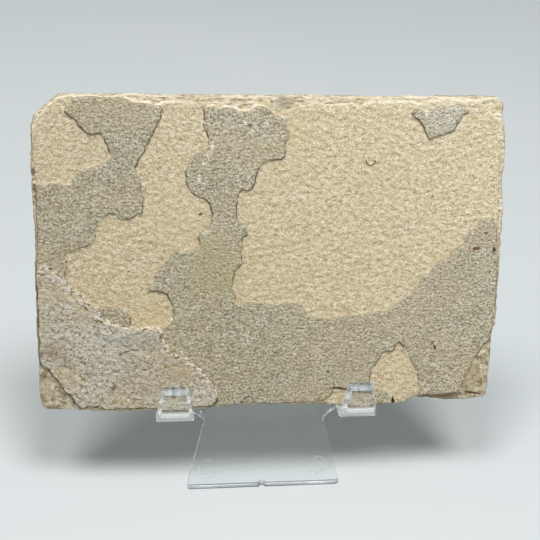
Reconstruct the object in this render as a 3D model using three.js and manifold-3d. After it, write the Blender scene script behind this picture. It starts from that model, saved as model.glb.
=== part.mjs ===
// A split plate of layered limestone, resting on a small clear plastic display stand.
//
// Millimetres, +Z up. The stone faces -Y and +X is to the right of somebody who looks at it. The
// origin is on the table, under the middle of the whole.
//
// Stone and stand share one leaning frame: x to the right, y up along the leaning face, z out
// towards the viewer. In it y = 0 is the stand's foot line and z = 0 is the front of its plate.

import * as THREE from 'three';
import { mergeVertices } from 'three/addons/utils/BufferGeometryUtils.js';
import Module from 'manifold-3d';

const manifold3d = await Module();
manifold3d.setup();

// ---------------------------------------------------------------- driving dimensions

const LEAN = THREE.MathUtils.degToRad(15); // how far the stone leans back from upright
const SEAT_GAP = 0.3; // clearance wherever the stone rests on the stand

const STONE_HEIGHT = 103.3; // of the stone's own outline, 0 at its bottom edge
const STONE_LIFT = 33; // from the foot line up to the stone's bottom edge
const STONE_ASIDE = 1.2; // how far the stone sits to the right of the stand's middle
const STONE_BOTTOM = -1; // the lowest point of the worn bottom edge

// Heights of the split surfaces above the stone's back, and how far each one swells.
const SHEET_BEDS = [1.9, 3.6, 5.2, 6.3]; // the sheets that the body parts into
const CREAM_BED = 7;
const GREY_BED = 7.7;
const ROUGH_BED = 8.7;
const SHEET_SWELL = 0.15;
const FACE_SWELL = 0.25;
const ROUGH_SWELL = 0.4;
const SHEET_OVERLAP = 0.4; // how far a sheet reaches down into the one below it

// The split surfaces are made on blocks larger than the stone, then cut to its outline.
const BLOCK_WIDTH = 164;
const BLOCK_HEIGHT = STONE_HEIGHT + 12;
const BLOCK_BELOW = 4;
const ABOVE_FACE = 16;
const SHEET_STEP = 6; // length of the short breaks along a sheet's edge
const SHEET_FRAYING = 0.5; // how far those breaks wander in and out
const TOP_SHEET_FRAYING = 0.9;
const SHEET_SPACING = 12; // between the points of a split surface
const FACE_SPACING = 7.5;
const ROUGH_SPACING = 5.5;
const SCALLOP_RADII = [2.9, 3.1, 1.5]; // a shell-shaped chip in the bottom edge
const SCALLOP_CENTRE = [-7.6, 0.6, GREY_BED + 0.5];

const PLATE_THICKNESS = 2.5;
const FOOT_HALF_WIDTH = 27.1;
const PLATE_TOP_HALF_WIDTH = 7.5;
const PLATE_TOP = 77;
const ARM_ROOT = 25; // height at which the arms leave the plate's sides
const ARM_FILLET = 2; // the corner between an arm and the plate's side
const ARM_SHOULDER = 40.5; // the arm's upper edge slopes down from the plate through here
const ARM_SHOULDER_TOP = 45.5;
const ARM_END = 35.5;
const HOOK_INNER = 24.6; // the hooks reach from here to HOOK_OUTER, on both sides
const HOOK_OUTER = 37.3;
const HOOK_TIP_INNER = 26.2; // they narrow towards the tip
const HOOK_TIP_OUTER = 34.9;
const HOOK_FACE_INNER = 27.6; // and towards the front, by the mould's draft
const HOOK_FACE_OUTER = 34.4;
const HOOK_FACE_DEPTH = 16.5; // in front of the plate, where the two widths above are reached
const HOOK_THICKNESS = 2.8;
const LEDGE_TOP = STONE_LIFT + STONE_BOTTOM - SEAT_GAP;
const HOOK_CORNER = 1; // the small corners at the arm's end
const LIP_FOOT = 10; // the lip's inner face at the ledge, in front of the plate
const LIP_SLANT = THREE.MathUtils.degToRad(20); // the lip opens outwards from the plate
const LIP_FRONT_TOP = 40.2; // height of the lip's front edge, in front of its square end
const LIP_BACK_TOP = 42.4;
const HOOK_BEND = 1.2; // inside radius
const HOOK_INSIDE_PLATE = 1; // how far the ledge reaches into the plate that it grows from
const RIDGE_RADIUS = 2.2;
const BELOW_TABLE = 3; // plate and leg are made this much too long, then cut off level
const LEG_FOOT_Y = 58; // the rear foot, behind the front one
const LEG_FOOT_HALF_WIDTH = 14;
const PIN_MARK_RADIUS = 3.2;
const PIN_MARK_DEPTH = 0.25;
const PIN_MARK_X = 19.3;
const PIN_MARK_HEIGHT = 7.2;
const FOOT_NOTCH_X = -0.5;
const FOOT_NOTCH_RADIUS = 1.3;
const FOOT_NOTCH_DEPTH = 0.6;

// ---------------------------------------------------------------- outlines of the stone

// Each outline is [x, y] in the stone's own face, clockwise, in millimetres. y = 0 is the
// nominal bottom edge.

const STONE_OUTLINE = [
  [-76.3, 93.5], [-75, 97], [-72.5, 99.4], [-68, 102.8], [-65, 103.3], [0, 103.2],
  [74.3, 103.3], [75.2, 101.5], [75.4, 97], [76.5, 93.5], [76.9, 80], [77.4, 45],
  [77.3, 26.5], [76.1, 24.3], [75.8, 10], [75.8, 1.3], [74.8, 0], [65, -0.2],
  [56, 0.3], [50.5, 1.2], [46, -0.4], [38, -0.9], [22, -0.7], [17, 0], [8, -0.4],
  [0, 0.2], [-12, 0.3], [-20, -0.4], [-26, -0.8], [-45, -0.9], [-58, -0.4],
  [-74.5, 0.1], [-76, 1.8], [-76.4, 20], [-76.3, 46], [-76, 60], [-76.5, 80],
];

// The cream bed stops short of the top edge, where thin sheets have flaked away.
const CREAM_OUTLINE = [
  [-75.9, 91.5], [-74, 95.5], [-71.3, 99], [-68, 101.9], [-66, 102.6], [-58, 102.8],
  [-49.5, 102.9], [-47, 102.3], [-45, 101.3], [-40, 100.9], [-37, 100.1], [-35.3, 101],
  [-31, 101.2], [-27, 100.6], [-22, 101], [-20, 100.2], [-14, 100.2], [-11.5, 99.2],
  [-9.5, 98.6], [-7.5, 99], [-6, 100.3], [-3, 101.7], [-1.8, 101.5], [0, 100.2],
  [2.5, 98.2], [5, 98.7], [8, 99.7], [11, 100.2], [14, 101.1], [16.5, 100.4], [22, 100.3],
  [24.8, 101], [26, 100], [28, 100], [30.5, 101.1], [36, 101.5], [44, 101.6], [47, 101],
  [50, 101.7], [57, 102.6], [60, 102.2], [62, 101.5], [65, 102.3], [67, 102], [68.5, 100.3],
  [70, 99], [72.5, 97], [75, 95.3], [75.8, 93], [75.6, 90.5], [75.2, 88], [75.1, 75],
  [75.3, 66], [76, 58], [76.4, 45], [76.4, 33], [76, 26], [75.6, 20], [75.3, 8], [75.2, 2.2],
  [70, 2], [64, 2.6], [56, 1.9], [52, 1.9], [50.5, 1.4], [48, 0.8], [46, -0.3], [42, -0.7],
  [36, -0.8], [25, -0.5], [20, -0.2], [17.3, 1.1], [13, 0.6], [5, 0.6], [0, 0.5],
  [-4.5, 0.8], [-10.3, 0.8], [-14, 0.4], [-18, 0.2], [-20, 0], [-25, -0.6], [-40, -0.7],
  [-56, -0.3], [-60, 0], [-74, 0.4], [-75.8, 1.5], [-76, 17], [-76, 46], [-75.4, 60],
  [-75.2, 75], [-75.6, 85],
];

// Grey remnants of the next bed, left standing on the cream one.
const GREY_UPPER_LEFT = [
  [-65.8, 98.2], [-64.5, 99.2], [-62, 100], [-63, 101.6], [-60, 102.4], [-56.5, 102.3],
  [-53, 101.9], [-50, 101.8], [-48, 102.2], [-46, 101.3], [-44, 100.5], [-40, 100.2],
  [-37, 99.8], [-35.6, 99.2], [-36, 96.5], [-37.2, 94], [-38.8, 91], [-40, 88.8],
  [-41.3, 87.5], [-41, 86], [-42.3, 84.5], [-43.5, 82.5], [-44.8, 80.2], [-43.7, 78.5],
  [-42.8, 75.5], [-42.4, 73], [-42, 70.5], [-42.3, 68], [-42.2, 66.3], [-44.2, 66],
  [-45.5, 64.3], [-47.5, 64], [-49.8, 64.2], [-50.5, 66], [-52, 66], [-53.5, 65],
  [-55.2, 63.8], [-56.7, 62], [-57.3, 60], [-57.5, 58], [-58.3, 56.5], [-60.5, 55.5],
  [-64, 54.2], [-66.5, 53.1], [-67.4, 52.2], [-66.8, 50.8], [-66.5, 49], [-67, 47],
  [-67.6, 43], [-78, 43], [-78, 74.5], [-75, 74.8], [-72.5, 75], [-70, 75.6], [-68, 75.7],
  [-65.5, 75], [-63.5, 75], [-64, 76.5], [-62.5, 78.5], [-60.5, 79.8], [-57, 80.4],
  [-54.5, 81.2], [-52.8, 82.6], [-51, 84], [-51.5, 85.3], [-52.8, 87.8], [-53.8, 90],
  [-54.6, 91.5], [-56, 91.3], [-57.5, 90.8], [-59, 91.5], [-60.5, 93], [-62, 95],
  [-64, 96.9],
];

const GREY_MAIN = [
  // the top of the middle column and down its right side
  [-22, 99.3], [-19.5, 99.6], [-17.5, 98.7], [-15, 99.8], [-13, 99.3], [-11.5, 98.2],
  [-9, 98.2], [-7, 98.6], [-6, 99.8], [-4, 100], [-2.4, 99.4], [0, 97.5], [2, 96.2],
  [3.6, 95.8], [4.2, 94], [4.5, 92], [4, 90], [3, 88.5], [3.4, 86.5], [3.4, 84.3],
  [2, 83.2], [0, 83.3], [-1.5, 83.1], [-3.5, 82], [-5, 80.5], [-5.7, 78], [-6.3, 76],
  [-7.2, 73.8], [-8.5, 73.3], [-10.5, 73.4], [-11.5, 72.5], [-12.2, 71], [-12, 68],
  [-11.9, 65.5], [-12.3, 63.8], [-10.5, 62.2], [-8.8, 60.5], [-8.6, 58.5], [-10.2, 57.5],
  [-10, 55], [-10.8, 53], [-10.3, 50.8], [-10, 49.2], [-11.5, 47.8], [-12.8, 46], [-13, 43],
  [-13.7, 41], [-12.5, 39.5], [-12.3, 36.5], [-11, 35.2],
  // along the top of the wide lower sheet and up to its right-hand peak
  [-8, 35.5], [-5, 35.2], [-2.5, 35.5], [0, 35], [2, 34.6], [4, 36], [6, 35.5], [8, 35.8],
  [9.8, 35.2], [10.5, 33], [12, 31], [14, 30], [18, 29.8], [21, 30.2], [24, 30.3], [28, 31],
  [33, 31.7], [38, 32.3], [40, 33.3], [43, 35], [46, 37], [48, 39.5], [50, 42], [50.8, 43.5],
  [53, 44.7], [54, 46], [56, 48.5], [58, 49.8], [60, 50.5], [61, 52.5], [62.5, 54],
  [64.5, 55], [65.5, 57], [66.8, 59.5], [68.5, 61.2], [70, 63], [71.5, 64], [73.5, 63.5],
  [74.5, 61.5], [75.2, 58.5], [75.3, 55], [78, 52],
  // down the right edge and along the broken lower right corner
  [78, 30], [75.5, 28], [75.6, 26], [74.8, 23.5], [75, 21.5], [72.8, 20], [71.5, 17.5],
  [70.2, 15.5], [69.3, 13], [68, 10.5], [67.3, 8.5], [66, 6.3], [65.5, 4.5], [63.8, 3],
  [61, 2], [57, 1.8], [54, 2], [52, 2],
  // round the cream window at the bottom
  [51.5, 5], [51, 8.5], [50.2, 12], [48.5, 14.8], [46.8, 17.8], [45.3, 20.2], [43.6, 21.6],
  [42, 20.2], [41.3, 18.3], [39.5, 18.5], [37.8, 18], [37, 16.3], [35.8, 14], [34, 12],
  [33.8, 9.5], [33.6, 7], [35, 5.2], [38, 4.5], [40.5, 3], [41.3, 1], [41.8, -2],
  // the bottom edge, with a second small window
  [27, -2], [26.8, 5.1], [24, 5.5], [20.9, 5.5], [20.9, 3.6], [19.5, 2.2], [17.3, 1.3],
  [16.5, -2], [-19, -2], [-40, 10], [-38, 26],
  // up the left side of the column
  [-33.8, 28.8], [-32.3, 30.5], [-31.9, 33], [-32.3, 35], [-33.2, 37], [-34.2, 39],
  [-36, 39.8], [-39, 40.1], [-40.3, 40.2], [-39.5, 42], [-38, 43.7], [-37.5, 45.5],
  [-36.5, 47.5], [-35, 49.3], [-34, 51], [-32.8, 52.3], [-31, 53.2], [-27, 53.3], [-25, 54],
  [-24, 54.8], [-23.5, 56], [-24, 57.5], [-23.8, 59], [-22.3, 60.3], [-20.6, 60.8],
  [-20.2, 62.5], [-19.8, 64], [-19.8, 66.5], [-20, 68.3], [-21.5, 70], [-24, 71.5],
  [-25.8, 72.4], [-27, 73.8], [-28, 75.2], [-27.6, 77], [-27.8, 79.5], [-27.5, 81.5],
  [-26.5, 83.2], [-24.8, 84.5], [-22.8, 85.3], [-21.5, 86.3], [-20.7, 87.5], [-20.5, 89.2],
  [-21.2, 91], [-21.4, 92.8], [-22, 94], [-22, 96.5],
];

const GREY_TRIANGLE = [
  [45, 98], [45.6, 99.3], [47.5, 98.9], [49.3, 98], [51, 98.3], [53, 99.8], [55, 100.4],
  [56.5, 99.6], [58, 100.2], [59.3, 100.8], [61, 100.3], [62, 100.2], [63.5, 98.3],
  [61.8, 98], [60.6, 95.8], [59.5, 94], [57.8, 92], [55, 91.2], [53, 90.6], [51.5, 89.8],
  [50.2, 90.4], [49.3, 92.3], [48, 94.8], [46.5, 96.4],
];

const GREY_SLIVER = [
  [-55, 34.8], [-53, 35.2], [-51, 34.5], [-49, 34.3], [-47.5, 33.2], [-46.7, 31.5],
  [-46.8, 29.5], [-48, 27], [-56, 27],
];

// The rough bed is one step higher again, and keeps only the lower left of the face.
const ROUGH_OUTLINE = [
  [-78, 44.5], [-75.6, 46], [-72.8, 48.6], [-70, 46.5], [-67.5, 45], [-66, 42.5],
  [-65, 40.5], [-62.2, 39.3], [-61, 37.5], [-58.5, 35.5], [-56.5, 34.3], [-56, 32],
  [-55, 30.3], [-53, 29.5], [-50, 28.2], [-47, 27.8], [-43, 27.5], [-40, 27.6],
  [-37.3, 27.7], [-36.2, 26.5], [-36.8, 24.5], [-35.6, 22.5], [-34.5, 20.5], [-33.5, 19.3],
  [-31, 18], [-29, 16.5], [-27, 14.8], [-25, 13.8], [-23, 12.2], [-21.5, 10], [-20.5, 8],
  [-19.5, 6], [-18.5, 4.5], [-18, 3], [-18.8, 1.5], [-22, 0.6], [-27, 0.3], [-38, 0.3],
  [-45, 0.5], [-55, 0.4], [-60.5, 1.6], [-62.8, 0.6], [-63.8, 1.2], [-65, 3.3], [-67, 5.5],
  [-68.5, 7.5], [-70, 10], [-71, 11.5], [-72.5, 13.5], [-74.5, 15.6], [-78, 17.5],
];

// Broken corners slope away from the face. Each is the part of the face inside an outline that
// stood above a plane through three points [x, y, height above the back].
const LOWER_LEFT_CHIP = {
  plane: [[-76, 17, 7.1], [-63, 0, 7.1], [-76, 0, 5.4]],
  outline: [[-80, 19], [-76, 17], [-62.8, 0.6], [-62, -4], [-80, -4]],
};
const LOWER_RIGHT_CHIP = {
  plane: [[75, 21.5, 7.2], [64.5, 3, 7.2], [76, 2, 5.2]],
  outline: [[80, 24], [75, 21.5], [69.3, 13], [65.5, 4.5], [64, -4], [80, -4]],
};

// ---------------------------------------------------------------- solids

/** Turns a closed three.js geometry into a solid that can be joined and cut. */
function solid(geometry) {
  const bare = geometry.clone();
  bare.deleteAttribute('normal');
  bare.deleteAttribute('uv');
  const merged = mergeVertices(bare, 1e-4);
  return new manifold3d.Manifold(new manifold3d.Mesh({
    numProp: 3,
    vertProperties: new Float32Array(merged.attributes.position.array),
    triVerts: new Uint32Array(merged.index.array),
  }));
}

/** Turns a finished solid back into a geometry with flat facets. */
function toGeometry(finished) {
  const mesh = finished.getMesh();
  const geometry = new THREE.BufferGeometry();
  geometry.setAttribute('position', new THREE.BufferAttribute(new Float32Array(mesh.vertProperties), 3));
  geometry.setIndex(new THREE.BufferAttribute(new Uint32Array(mesh.triVerts), 1));
  const facets = geometry.toNonIndexed();
  facets.computeVertexNormals();
  return facets;
}

function joined(solids) {
  return solids.reduce((whole, next) => whole.add(next));
}

function outlineShape(points) {
  return new THREE.Shape(points.map(([x, y]) => new THREE.Vector2(x, y)));
}

/** An outline pulled straight out from z = low to z = high. */
function prism(shape, low, high, curveSegments = 6) {
  const geometry = new THREE.ExtrudeGeometry(shape, {
    depth: high - low,
    bevelEnabled: false,
    curveSegments,
  });
  geometry.translate(0, 0, low);
  return solid(geometry);
}

// ---------------------------------------------------------------- the stone

/** Long, low swells of a bedding surface, between about -1 and 1. */
function swell(x, y, seed) {
  const broad = Math.sin(0.071 * x + 0.043 * y + seed) + Math.sin(0.098 * y - 0.052 * x + 2.1 * seed);
  const small = Math.sin(0.29 * x + 0.21 * y + 3.7 * seed) + Math.sin(0.33 * y - 0.17 * x + 1.3 * seed);
  return 0.32 * broad + 0.18 * small;
}

/** Everything from below the stone's back up to one split surface. */
function bed(level, relief, spacing, seed) {
  const columns = Math.round(BLOCK_WIDTH / spacing);
  const rows = Math.round(BLOCK_HEIGHT / spacing);
  const depth = level + BLOCK_BELOW;
  const block = new THREE.BoxGeometry(BLOCK_WIDTH, BLOCK_HEIGHT, depth, columns, rows, 1);
  block.translate(0, STONE_HEIGHT / 2, level - depth / 2);
  const position = block.attributes.position;
  for (let i = 0; i < position.count; i += 1) {
    if (position.getZ(i) > 0) {
      position.setZ(i, level + relief * swell(position.getX(i), position.getY(i), seed));
    }
  }
  return solid(block);
}

/** Everything in front of the stone's back, which is split, almost flat and never below z = 0. */
function inFrontOfBack() {
  const block = new THREE.BoxGeometry(BLOCK_WIDTH, BLOCK_HEIGHT, ABOVE_FACE, 12, 8, 1);
  block.translate(0, STONE_HEIGHT / 2, ABOVE_FACE / 2);
  const position = block.attributes.position;
  for (let i = 0; i < position.count; i += 1) {
    if (position.getZ(i) < ABOVE_FACE / 2) {
      position.setZ(i, SHEET_SWELL * (1 + swell(position.getX(i), position.getY(i), 5.2)));
    }
  }
  return solid(block);
}

/** Breaks the sides of an outline into short steps that wander in and out by up to depth. */
function ragged(points, step, depth, seed) {
  const random = THREE.MathUtils.seededRandom;
  random(seed);
  const broken = [];
  points.forEach(([x, y], i) => {
    const [nextX, nextY] = points[(i + 1) % points.length];
    const length = Math.hypot(nextX - x, nextY - y);
    const pieces = Math.max(1, Math.round(length / step));
    for (let k = 0; k < pieces; k += 1) {
      const along = k / pieces;
      const out = depth * (random() - 0.7);
      const brokenX = x + (nextX - x) * along - (nextY - y) / length * out;
      const brokenY = y + (nextY - y) * along + (nextX - x) / length * out;
      broken.push([brokenX, Math.max(brokenY, STONE_BOTTOM)]);
    }
  });
  return broken;
}

/** A tilted block that takes a broken corner off: all above a plane, inside an outline. */
function cornerChip(planePoints, outline) {
  const [a, b, c] = planePoints.map((point) => new THREE.Vector3(...point));
  const plane = new THREE.Plane().setFromCoplanarPoints(a, b, c);
  const facing = plane.normal.z > 0 ? plane.normal : plane.normal.negate();
  const size = 60;
  const block = new THREE.BoxGeometry(size, size, ABOVE_FACE);
  block.translate(0, 0, ABOVE_FACE / 2);
  block.applyQuaternion(new THREE.Quaternion().setFromUnitVectors(new THREE.Vector3(0, 0, 1), facing));
  block.translate(a.x, a.y, a.z);
  return solid(block).intersect(prism(outlineShape(outline), SHEET_BEDS[1], ABOVE_FACE));
}

function makeStone() {
  // The body: thin sheets, each broken off along its own ragged line. The top one frays most.
  const body = SHEET_BEDS.map((level, i) => {
    const low = i === 0 ? -1 : SHEET_BEDS[i - 1] - SHEET_OVERLAP;
    const fraying = i === SHEET_BEDS.length - 1 ? TOP_SHEET_FRAYING : SHEET_FRAYING;
    const edge = ragged(STONE_OUTLINE, SHEET_STEP, fraying, 11 + i);
    const surface = bed(level, SHEET_SWELL, SHEET_SPACING, 1.7 * i);
    return prism(outlineShape(edge), low, CREAM_BED).intersect(surface);
  });

  const creamEdge = prism(outlineShape(CREAM_OUTLINE), SHEET_BEDS[2] - SHEET_OVERLAP, ABOVE_FACE);
  const cream = creamEdge.intersect(bed(CREAM_BED, FACE_SWELL, FACE_SPACING, 0.4));

  const patches = [GREY_UPPER_LEFT, GREY_MAIN, GREY_TRIANGLE, GREY_SLIVER]
    .map((outline) => prism(outlineShape(outline), CREAM_BED - 1, ABOVE_FACE));
  const grey = joined(patches).intersect(creamEdge).intersect(bed(GREY_BED, FACE_SWELL, FACE_SPACING, 0.4));

  const roughEdge = prism(outlineShape(ROUGH_OUTLINE), CREAM_BED - 1, ABOVE_FACE).intersect(creamEdge);
  const rough = roughEdge.intersect(bed(ROUGH_BED, ROUGH_SWELL, ROUGH_SPACING, 2.9));

  const scallop = new THREE.SphereGeometry(1, 14, 10);
  scallop.scale(...SCALLOP_RADII);
  scallop.translate(...SCALLOP_CENTRE);

  return joined([...body, cream, grey, rough])
    .intersect(inFrontOfBack())
    .subtract(cornerChip(LOWER_LEFT_CHIP.plane, LOWER_LEFT_CHIP.outline))
    .subtract(cornerChip(LOWER_RIGHT_CHIP.plane, LOWER_RIGHT_CHIP.outline))
    .subtract(solid(scallop));
}

// ---------------------------------------------------------------- the stand

const leaning = new THREE.Matrix4().makeRotationX(Math.PI / 2 - LEAN);

/** The front plate with its two arms, seen from the front. */
function plateShape() {
  const slope = (FOOT_HALF_WIDTH - PLATE_TOP_HALF_WIDTH) / PLATE_TOP;
  const side = (height) => FOOT_HALF_WIDTH - slope * height;
  const ledgeBottom = LEDGE_TOP - HOOK_THICKNESS;
  const right = [
    [side(-BELOW_TABLE), -BELOW_TABLE],
    [side(ARM_ROOT), ARM_ROOT],
    [side(ARM_ROOT) + ARM_FILLET, ARM_ROOT + ARM_FILLET],
    [HOOK_INNER, ledgeBottom - HOOK_CORNER],
    [HOOK_INNER + HOOK_CORNER, ledgeBottom],
    [HOOK_OUTER - HOOK_CORNER, ledgeBottom],
    [HOOK_OUTER, ledgeBottom + HOOK_CORNER],
    [HOOK_OUTER, ARM_END],
    [HOOK_OUTER - ARM_FILLET, ARM_END + ARM_FILLET],
    [HOOK_INNER, ARM_SHOULDER],
    [side(ARM_SHOULDER_TOP), ARM_SHOULDER_TOP],
    [PLATE_TOP_HALF_WIDTH, PLATE_TOP],
  ];
  const left = right.map(([x, y]) => [-x, y]).reverse();
  return outlineShape([...right, ...left]);
}

/** One hook seen from the side, with z along the shape's x: the ledge, the bend and the lip. */
function hookSection() {
  const slant = Math.tan(LIP_SLANT);
  const lipDepth = HOOK_THICKNESS / Math.cos(LIP_SLANT);
  const innerFace = (height) => LIP_FOOT + slant * (height - LEDGE_TOP);
  const bendZ = LIP_FOOT - HOOK_BEND * Math.tan(Math.PI / 4 - LIP_SLANT / 2);
  const bendY = LEDGE_TOP + HOOK_BEND;
  const section = new THREE.Shape();
  section.moveTo(-HOOK_INSIDE_PLATE, LEDGE_TOP - HOOK_THICKNESS);
  section.absarc(bendZ, bendY, HOOK_BEND + HOOK_THICKNESS, -Math.PI / 2, -LIP_SLANT, false);
  section.lineTo(innerFace(LIP_FRONT_TOP) + lipDepth, LIP_FRONT_TOP);
  section.lineTo(innerFace(LIP_BACK_TOP), LIP_BACK_TOP);
  section.absarc(bendZ, bendY, HOOK_BEND, -LIP_SLANT, -Math.PI / 2, true);
  section.lineTo(-HOOK_INSIDE_PLATE, LEDGE_TOP);
  section.closePath();
  return section;
}

/** The hook on the right: its section pulled across, then tapered as seen from front and above. */
function makeRightHook() {
  const strip = new THREE.ExtrudeGeometry(hookSection(), {
    depth: HOOK_OUTER - HOOK_INNER,
    bevelEnabled: false,
    curveSegments: 7,
  });
  strip.rotateY(-Math.PI / 2);
  strip.translate(HOOK_OUTER, 0, 0);
  const beyond = 60; // further than any part of the hook reaches
  const frontTaper = prism(outlineShape([
    [HOOK_INNER, 0], [HOOK_OUTER, 0], [HOOK_OUTER, LEDGE_TOP],
    [HOOK_TIP_OUTER, LIP_BACK_TOP], [HOOK_TIP_INNER, LIP_BACK_TOP], [HOOK_INNER, LEDGE_TOP],
  ]), -beyond, beyond);
  const topTaper = prism(outlineShape([
    [HOOK_INNER, beyond], [HOOK_OUTER, beyond], [HOOK_OUTER, HOOK_BEND - LIP_FOOT],
    [HOOK_FACE_OUTER, -HOOK_FACE_DEPTH], [HOOK_FACE_INNER, -HOOK_FACE_DEPTH],
    [HOOK_INNER, HOOK_BEND - LIP_FOOT],
  ]), 0, beyond).rotate([-90, 0, 0]);
  return solid(strip).intersect(frontTaper).intersect(topTaper);
}

/** The rear leg, from the rounded ridge behind the plate's top down to the rear foot. */
function makeLeg() {
  const top = new THREE.Vector3(0, PLATE_TOP, -RIDGE_RADIUS).applyMatrix4(leaning);
  const reach = LEG_FOOT_Y - top.y;
  const length = Math.hypot(reach, top.z);
  const panel = prism(outlineShape([
    [-PLATE_TOP_HALF_WIDTH, 0], [PLATE_TOP_HALF_WIDTH, 0],
    [LEG_FOOT_HALF_WIDTH, -length - BELOW_TABLE], [-LEG_FOOT_HALF_WIDTH, -length - BELOW_TABLE],
  ]), -PLATE_THICKNESS / 2, PLATE_THICKNESS / 2);
  const ridge = new THREE.CylinderGeometry(RIDGE_RADIUS, RIDGE_RADIUS, 2 * PLATE_TOP_HALF_WIDTH, 16);
  ridge.rotateZ(Math.PI / 2);
  const turn = THREE.MathUtils.radToDeg(Math.atan2(reach, top.z));
  return panel.add(solid(ridge)).rotate([90 + turn, 0, 0]).translate([0, top.y, top.z]);
}

function makeStand() {
  const pinMarks = [-PIN_MARK_X, PIN_MARK_X].map((x) => {
    const mark = new THREE.CylinderGeometry(PIN_MARK_RADIUS, PIN_MARK_RADIUS, 2 * PIN_MARK_DEPTH, 24);
    mark.rotateX(Math.PI / 2);
    mark.translate(x, PIN_MARK_HEIGHT, 0);
    return solid(mark);
  });
  const plate = prism(plateShape(), -PLATE_THICKNESS, 0).subtract(joined(pinMarks));
  const hook = makeRightHook();
  const front = joined([plate, hook, hook.mirror([1, 0, 0])])
    .rotate([90 - THREE.MathUtils.radToDeg(LEAN), 0, 0]);

  const notchLength = 4 * PLATE_THICKNESS;
  const notch = new THREE.CylinderGeometry(FOOT_NOTCH_RADIUS, FOOT_NOTCH_RADIUS, notchLength, 12);
  notch.translate(FOOT_NOTCH_X, 0, FOOT_NOTCH_DEPTH - FOOT_NOTCH_RADIUS);
  const room = 200; // a box above the table, larger than the stand
  const aboveTable = new THREE.BoxGeometry(room, room, room);
  aboveTable.translate(0, 0, room / 2);
  return front.add(makeLeg()).subtract(solid(notch)).intersect(solid(aboveTable));
}

// ---------------------------------------------------------------- the finished object

const limestone = new THREE.MeshStandardMaterial({ color: 0xc9bb9b, roughness: 0.95, metalness: 0 });
const clearPlastic = new THREE.MeshStandardMaterial({ color: 0xdfe7e8, roughness: 0.06, metalness: 0 });

const slab = new THREE.Mesh(toGeometry(makeStone()), limestone);
slab.name = 'slab';
slab.position.set(STONE_ASIDE, STONE_LIFT, SEAT_GAP);

const leaningFrame = new THREE.Group();
leaningFrame.applyMatrix4(leaning);
leaningFrame.add(slab);

const stand = new THREE.Mesh(toGeometry(makeStand()), clearPlastic);
stand.name = 'stand';

const display = new THREE.Group();
display.add(leaningFrame, stand);

// Bring the middle of the whole over the origin.
display.updateMatrixWorld(true);
const extent = new THREE.Box3().setFromObject(display, true);
const middle = extent.getCenter(new THREE.Vector3());
display.position.set(-middle.x, -middle.y, 0);

const object = new THREE.Group();
object.add(display);

export default object;
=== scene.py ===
# %% [markdown]
# A split plate of layered limestone on a clear plastic display stand
#
# The stone is a thin slab whose front has come apart along its beds: most of it is a cream
# bed, with grey remnants of the next bed left standing on it and a rough, higher bed in one
# corner. It leans on a small moulded stand. This file loads the two solids, gives the stone
# its broken surface and both pieces their finish, and sets them under a soft studio light.

import math

import bmesh
import bpy
import numpy as np
from mathutils import Matrix, Vector, noise
from mathutils.bvhtree import BVHTree


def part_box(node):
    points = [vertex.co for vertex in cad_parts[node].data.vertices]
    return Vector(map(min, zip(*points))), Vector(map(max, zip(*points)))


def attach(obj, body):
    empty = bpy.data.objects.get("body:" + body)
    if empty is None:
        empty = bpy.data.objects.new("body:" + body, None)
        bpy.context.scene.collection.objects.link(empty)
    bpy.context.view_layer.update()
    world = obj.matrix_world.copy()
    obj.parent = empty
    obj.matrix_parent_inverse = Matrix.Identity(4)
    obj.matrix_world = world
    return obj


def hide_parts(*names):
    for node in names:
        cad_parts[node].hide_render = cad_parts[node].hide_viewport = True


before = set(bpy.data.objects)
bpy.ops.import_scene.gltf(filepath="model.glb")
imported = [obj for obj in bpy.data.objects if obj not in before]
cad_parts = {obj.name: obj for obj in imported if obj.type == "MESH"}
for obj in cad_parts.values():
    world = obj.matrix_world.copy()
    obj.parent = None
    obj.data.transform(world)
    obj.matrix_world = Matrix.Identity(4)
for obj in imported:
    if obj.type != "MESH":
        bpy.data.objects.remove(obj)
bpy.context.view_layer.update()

# %% [markdown]
# Where things are
#
# Everything here is easier to place in the stone's own leaning frame: x across the face, y up
# it from the bottom edge, z out from the back, in millimetres. The stand stands where its
# front edge touches the table, and its middle is halfway between its two hooks, so both are
# read from the solid. The rest are the sizes that the solids were built from.

# %% The stone's leaning frame
MM = 0.001
LEAN = math.radians(15)
STONE_LIFT = 33.0
STONE_ASIDE = 1.2
SEAT_GAP = 0.3
CREAM_BED = 7.0

stand_low, stand_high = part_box("stand")
on_table = [v.co.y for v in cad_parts["stand"].data.vertices if v.co.z < 0.01 * MM]
foot_line = Vector(((stand_low[0] + stand_high[0]) / 2, min(on_table), 0))
stand_frame = (Matrix.Translation(foot_line) @ Matrix.Rotation(math.pi / 2 - LEAN, 4, "X")
               @ Matrix.Diagonal((MM, MM, MM, 1)))
stone_frame = stand_frame @ Matrix.Translation((STONE_ASIDE, STONE_LIFT, SEAT_GAP))
print("the foot's front edge:", [round(c, 5) for c in foot_line])
print("the stone's bottom edge:", [round(c, 5) for c in stone_frame.translation])

# %% [markdown]
# The camera
#
# A product view from a little to the left and well above, with a short telephoto lens. It
# looks at a point on the stone's face, and is rolled slightly, as a camera held by hand is.

# %% Camera
LENS = 68.07
SENSOR_WIDTH = 36
NEAREST_SEEN = 0.01
AIM = stone_frame @ Vector((-0.73, 46.7, CREAM_BED))
CAMERA_DISTANCE = 0.33537
CAMERA_LEFT = math.radians(7.497)
CAMERA_ABOVE = math.radians(27.296)
CAMERA_ROLL = math.radians(2.772)


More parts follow.
